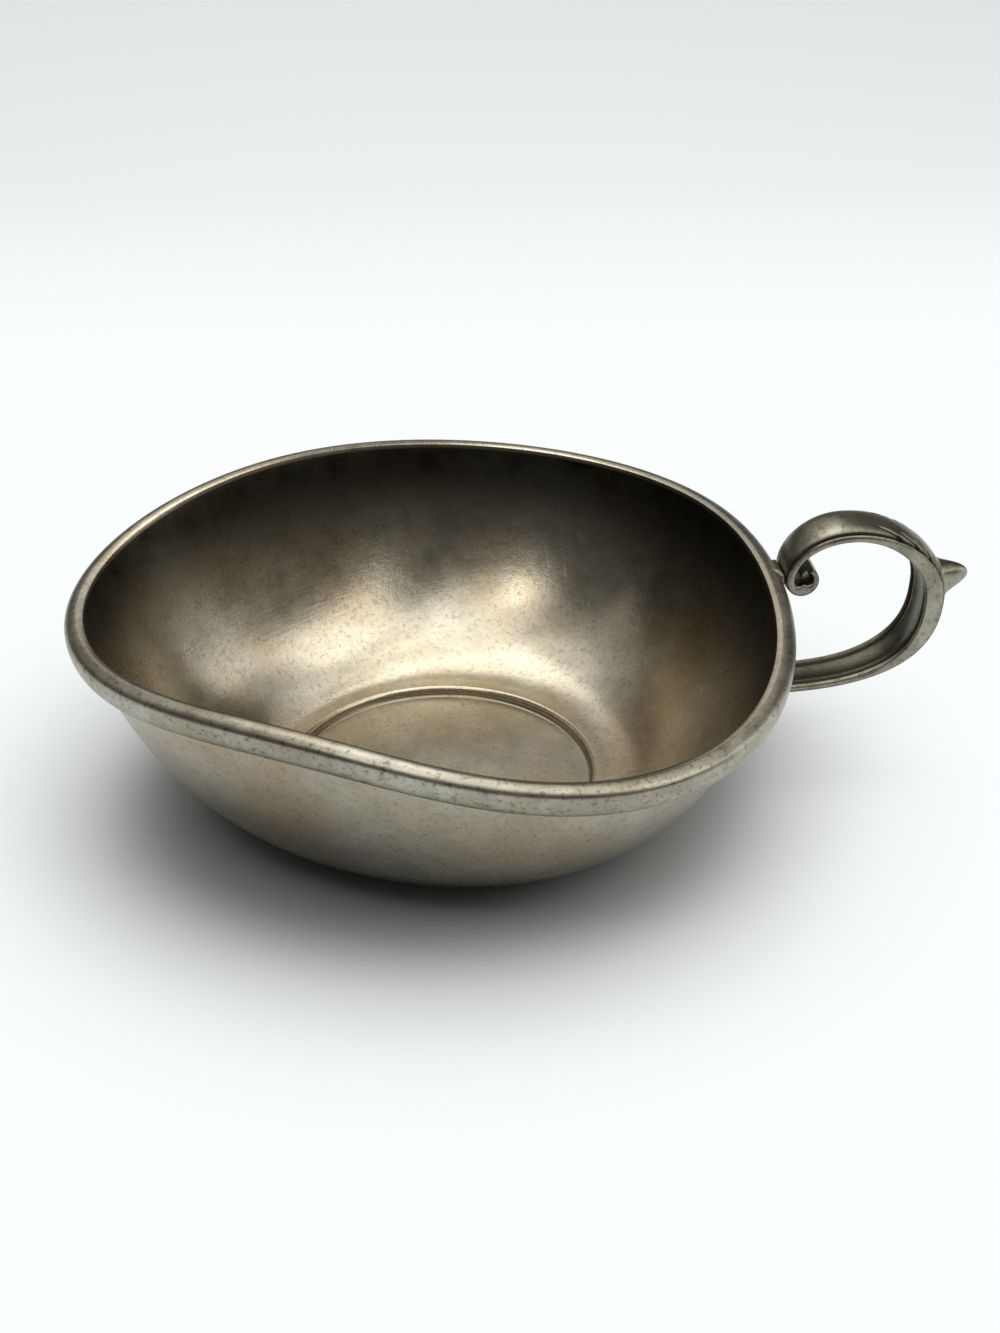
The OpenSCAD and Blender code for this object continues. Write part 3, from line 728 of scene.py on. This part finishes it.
# %% The flat side with its rounded corners
# The side's top corner takes a little of the groove's painted shade.
def side_rows(t, h, g, groove_shade):
    corner = min(BODY_ROUND, t * 0.42)
    rows = []
    for k in range(7):
        a = math.radians(15 + 75 * k / 6)
        rows.append((t - corner * (1 - math.cos(a)) - 0.02 - g * 0.2 * (1 - k / 6),
                     h - corner * (1 - math.sin(a)), 0.15 * groove_shade * (1 - k / 6)))
    for k in range(1, 6):
        rows.append((between(t - corner, corner, k / 6),
                     h + 0.1 * math.sin(math.pi * k / 6), 0.0))
    for k in range(7):
        a = math.radians(75 * k / 6)
        rows.append((corner * (1 - math.sin(a)) + 0.02, h - corner * (1 - math.cos(a)), 0.0))
    return rows


print("points down one side:", len(side_rows(BEND_T, ARCH_W / 2, 0, 0)))


# %% The inner face: a web in the scroll, a hollow elsewhere
# The lip's groove and the trough are painted dark, painted shade in the hollow with dirt; the web
# in the scroll's eye is painted much lighter.
def inner_rows(s, hc, gi):
    t, f = s["t"], s["face"]
    web = f < -0.05
    m = min(s["web"], hc - 0.1) if web else hc - HOLLOW_IN
    lip = hc - 0.02
    inner = between(m, lip, 0.5)
    keep = 0.35 if web else 1.0
    rows = [(0.0, lip, 0.2), (gi * 0.5, between(lip, inner, 0.45), 0.7 * keep),
            (gi * 0.92, between(lip, inner, 0.8), keep), (gi, inner, keep),
            (between(gi, f, 0.08 if web else 0.4), between(inner, m, 0.5), 0.9 * keep)]
    if web:
        rows += [(f * 0.25, m, 0.12), (f * 0.85, m, 0.05), (f, m, 0.05)]
        return rows + [(f, m * k / 8, 0.05) for k in range(7, -1, -1)]
    hollow = min(BODY_ROUND, t * 0.3) * ease(gi / 0.3)
    edge = m - 0.6
    rows += [(between(gi, f, 0.8), m, 0.75), (f + hollow * 0.12, m - 0.25, 0.8),
             (f + hollow * 0.3, edge, 0.75)]
    for k in range(7, -1, -1):
        y = edge * k / 8
        rows.append((f + hollow * (1 - 0.7 * (y / edge) ** 2), y, 0.62 + 0.12 * k / 8))
    return rows


# The groove under the leaf's edge is painted dark: painted shade in the groove, with dirt.
def half_section(s):
    t, h = s["t"], s["w"] / 2
    hc, g, gi = h - EDGE_W, s["groove"] * GROOVE_MORE, s["trough"] * GROOVE_MORE
    leaf = hc - 0.6 * CUT_W * s["cut"]
    groove_shade = 1.0 if g > 0.05 else g / 0.05
    groove = [(t - g * 0.55, leaf - 0.14, groove_shade), (t - g * 0.95, leaf, groove_shade),
              (t - g, leaf + 0.14, groove_shade), (t - g * 0.92, leaf + 0.3, groove_shade),
              (t - g * 0.6, between(leaf, hc, 0.7) + 0.36, groove_shade * 0.9),
              (t - g * 0.28, hc + 0.4, groove_shade * 0.5)]
    return crown_rows(s, leaf, groove_shade) + groove + side_rows(t, h, g, groove_shade) + inner_rows(s, hc, gi)


print("points in half a section:", len(half_section(stations[-1])))

# %% [markdown]
# ## Where the arm ends
# The arm's end lies against the bowl with a thin layer of solder between, so
# it is cut to the wall's own curve. The last rings are moved towards that
# curve step by step, while their inner face goes flat.

# %% The wall's curve at the handle, with the solder's thickness
tail_u = share_at(ARM_Z + TAIL_T / 2, top_z)
slope_r, slope_z = wall_slope(tail_u, rim_front + WALL_T - FOOT_R, top_z - FOOT_Z)
TAIL_OFF = SOLDER_T * math.hypot(slope_r, slope_z) / slope_z
TAIL_RINGS = 14


def wall_x(y, z):
    u = share_at(z, top_z)
    r = FOOT_R + (rim_front + WALL_T - FOOT_R) * arc_r(u) + TAIL_OFF
    return math.sqrt(r * r - y * y)


print("the arm ends", round(TAIL_OFF, 2), "mm off the wall")

# %% Lay the rings
verts, soil_and_shade_values = [], []


def add_ring(s, towards_wall=0.0):
    half = half_section(s)
    if towards_wall:
        flat = half_section(dict(s, trough=0.0, face=0.0))
        half = [(between(a[0], c[0], towards_wall), a[1], a[2]) for a, c in zip(half, flat)]
    ring = half + [(n, -y, soil_and_shade) for n, y, soil_and_shade in half[-2:0:-1]]
    for n, y, soil_and_shade in ring:
        x = s["x"] + (n - s["t"]) * s["nx"]
        z = s["z"] + (n - s["t"]) * s["nz"]
        if towards_wall:
            x = between(x, wall_x(y, z), towards_wall)
        verts.append((x * MM, y * MM, z * MM))
        soil_and_shade_values.append(soil_and_shade)
    return len(ring)


for s in stations:
    around = add_ring(s)
for j in range(1, TAIL_RINGS + 1):
    add_ring(stations[-1], j / TAIL_RINGS)
rings = len(verts) // around
print("rings:", rings, "of", around, "points")

# %% Skin the rings and close both ends
faces = []
for j in range(rings - 1):
    for i in range(around):
        k = (i + 1) % around
        faces.append((j * around + i, (j + 1) * around + i, (j + 1) * around + k, j * around + k))
for base in (0, (rings - 1) * around):
    for i in range(around // 2):
        strip = [base + i, base + i + 1,
                 base + (around - i - 1) % around, base + (around - i) % around]
        faces.append(tuple(dict.fromkeys(strip)))
mesh = bpy.data.meshes.new("scroll_handle")
mesh.from_pydata(verts, [], faces)
layer = mesh.attributes.new("soil_and_shade", "FLOAT", "POINT")
layer.data.foreach_set("value", soil_and_shade_values)
mesh.materials.append(handle_metal)
handle = bpy.data.objects.new("scroll_handle", mesh)
bpy.context.scene.collection.objects.link(handle)
finish(handle)
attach(handle, "root")
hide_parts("handle")

# %% [markdown]
# ## Solder
# Two small puddles of solder hold the handle. Their solids already have the
# right shape, so they only get their finish.

# %% Dress the solder
for name in ("upper_solder", "lower_solder"):
    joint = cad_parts[name]
    joint = joint if hasattr(joint, "data") else bpy.data.objects[name]
    joint.data.materials.clear()
    joint.data.materials.append(solder_metal)
    print(name, "dressed")

# %% [markdown]
# ## The table
# The bowl stands on one large flat sheet of pale matte paper. Its colour is
# painted darker under the bowl, a painted shadow that deepens the real one
# where they touch. Beyond the shadow it shows as white to the camera and in
# the metal's reflections, and well behind the bowl it fades to a soft grey, as
# the photo's does. None of that sends light on the bowl: the glow is only for
# camera, glossy and transmission rays.

# %% The paper's look
FLOOR_HALF, FADE_FROM, FADE_TO, FADE_BY = 30.0, 0.22, 0.36, 0.42
SHADOW_FROM, SHADOW_TO, CONTACT_FROM, CONTACT_TO = 0.05, 0.108, 0.035, 0.07
PAPER_WHITE = 0.97
paper_look = bpy.data.materials.new("pale paper")
paper_look.use_nodes = True
tree = paper_look.node_tree
tree.nodes.clear()
ray = add(tree, "ShaderNodeLightPath").outputs
seen = add(tree, MATH, LARGER, {0: ray["Is Camera Ray"], 1: ray["Is Glossy Ray"]}).outputs[0]
seen = add(tree, MATH, LARGER, {0: seen, 1: ray["Is Transmission Ray"]}).outputs[0]
spot = add(tree, "ShaderNodeTexCoord").outputs["Object"]
spread = add(tree, VECTOR, {"operation": "MULTIPLY"}, {0: spot, 1: (0.93, 1.0, 1.0)}).outputs[0]
away = add(tree, VECTOR, {"operation": "LENGTH"}, {0: spread}).outputs["Value"]
behind = add(tree, VECTOR, {"operation": "DOT_PRODUCT"},
             {0: spot, 1: (math.sin(SWING), math.cos(SWING), 0.0)}).outputs["Value"]
clear = add(tree, RANGE, SMOOTH, {"Value": away, "From Min": SHADOW_FROM, "From Max": SHADOW_TO})
share = add(tree, MATH, TIMES, {0: seen, 1: clear.outputs[0]})
fade = add(tree, RANGE, SMOOTH, {"Value": behind, "From Min": FADE_FROM, "From Max": FADE_TO})
fade = add(tree, MATH, TIMES, {0: fade.outputs[0], 1: FADE_BY})
fade = add(tree, MATH, MINUS, {0: PAPER_WHITE, 1: fade.outputs[0]})
share = add(tree, MATH, TIMES, {0: share.outputs[0], 1: fade.outputs[0]})
# Painted shadow: near the bowl the paper's own colour goes from pale to a mid grey.
outside_painted_shadow = add(tree, RANGE, SMOOTH,
                 {"Value": away, "From Min": CONTACT_FROM, "From Max": CONTACT_TO})
paper_with_painted_shadow = add(tree, MIX, COLOURS,
                 {0: outside_painted_shadow.outputs[0], 6: srgb("#a0a2a6"), 7: srgb("#eaf0f4")})
matte = add(tree, "ShaderNodeBsdfDiffuse", None, {"Color": paper_with_painted_shadow.outputs[2]})
glow = add(tree, "ShaderNodeEmission", None, {"Color": srgb("#fbfeff"), "Strength": 1.0})
both = add(tree, "ShaderNodeMixShader", None,
           {0: share.outputs[0], 1: matte.outputs[0], 2: glow.outputs[0]})
add(tree, "ShaderNodeOutputMaterial", None, {0: both.outputs[0]})
print("the paper fades", FADE_FROM, "to", FADE_TO, "m behind the bowl")

# %% Lay the paper
corners = [(-FLOOR_HALF, -FLOOR_HALF, 0.0), (FLOOR_HALF, -FLOOR_HALF, 0.0),
           (FLOOR_HALF, FLOOR_HALF, 0.0), (-FLOOR_HALF, FLOOR_HALF, 0.0)]
mesh = bpy.data.meshes.new("paper")
mesh.from_pydata(corners, [], [(0, 1, 2, 3)])
mesh.materials.append(paper_look)
for face in mesh.polygons:
    face.use_smooth = True
paper = bpy.data.objects.new("paper", mesh)
bpy.context.scene.collection.objects.link(paper)
print("paper laid,", 2 * FLOOR_HALF, "m wide")

# %% [markdown]
# ## The light
# Polished metal is drawn by what it mirrors, so the light is a dome of soft
# square panels, 0.75 m from the bowl, like a photographer's tent. Its cloth is
# bright overhead, behind and to the right, and dark at the left and low in
# front. Each row is one panel: its bearing from the back, clockwise as seen
# from above, and its climb, both in degrees, its width in metres, and how
# bright it is. The panels were fitted to where the photo's metal is light and
# dark. The world is dim and warm, so the gaps between them mirror as dark
# metal.

# %% Lamps and world
PANELS = ((0, 89, 0.40, 1.9), (0, 62, 0.36, 2.3), (0, 38, 0.36, 0.6),
          (45, 62, 0.36, 0.9), (90, 62, 0.36, 1.1), (135, 62, 0.36, 1.5),
          (180, 62, 0.36, 1.1), (-135, 62, 0.36, 0.9), (-140, 57, 0.18, 2.6),
          (-90, 62, 0.36, 0.35), (-45, 62, 0.36, 1.0), (-30, 38, 0.36, 0.2),
          (-60, 38, 0.36, 0.35), (120, 38, 0.36, 2.3), (90, 38, 0.36, 0.35),
          (90, 14, 0.36, 1.3))
TENT, MIDDLE = 0.75, 0.02
for bearing, climb, wide, brightness in PANELS:
    name = "panel %d %d" % (bearing, climb)
    b, c = math.radians(bearing), math.radians(climb)
    panel = bpy.data.lights.new(name, "AREA")
    panel.shape = "RECTANGLE"
    panel.size, panel.size_y = wide, wide
    panel.energy = brightness * math.pi * wide * wide
    panel.color = srgb("#fffdf8")[:3]
    lamp = bpy.data.objects.new(name, panel)
    bpy.context.scene.collection.objects.link(lamp)
    lamp.location = (TENT * math.cos(c) * math.sin(b), TENT * math.cos(c) * math.cos(b),
                     MIDDLE + TENT * math.sin(c))
    inwards = mathutils.Vector((0, 0, MIDDLE)) - lamp.location
    lamp.rotation_euler = inwards.to_track_quat("-Z", "Y").to_euler()
world = bpy.data.worlds.new("room")
bpy.context.scene.world = world
world.use_nodes = True
tree = world.node_tree
tree.nodes.clear()
dim = add(tree, "ShaderNodeBackground", None, {"Color": srgb("#cbc8c2"), "Strength": 0.15})
add(tree, "ShaderNodeOutputWorld", None, {0: dim.outputs[0]})
bpy.context.scene.view_settings.view_transform = "Standard"
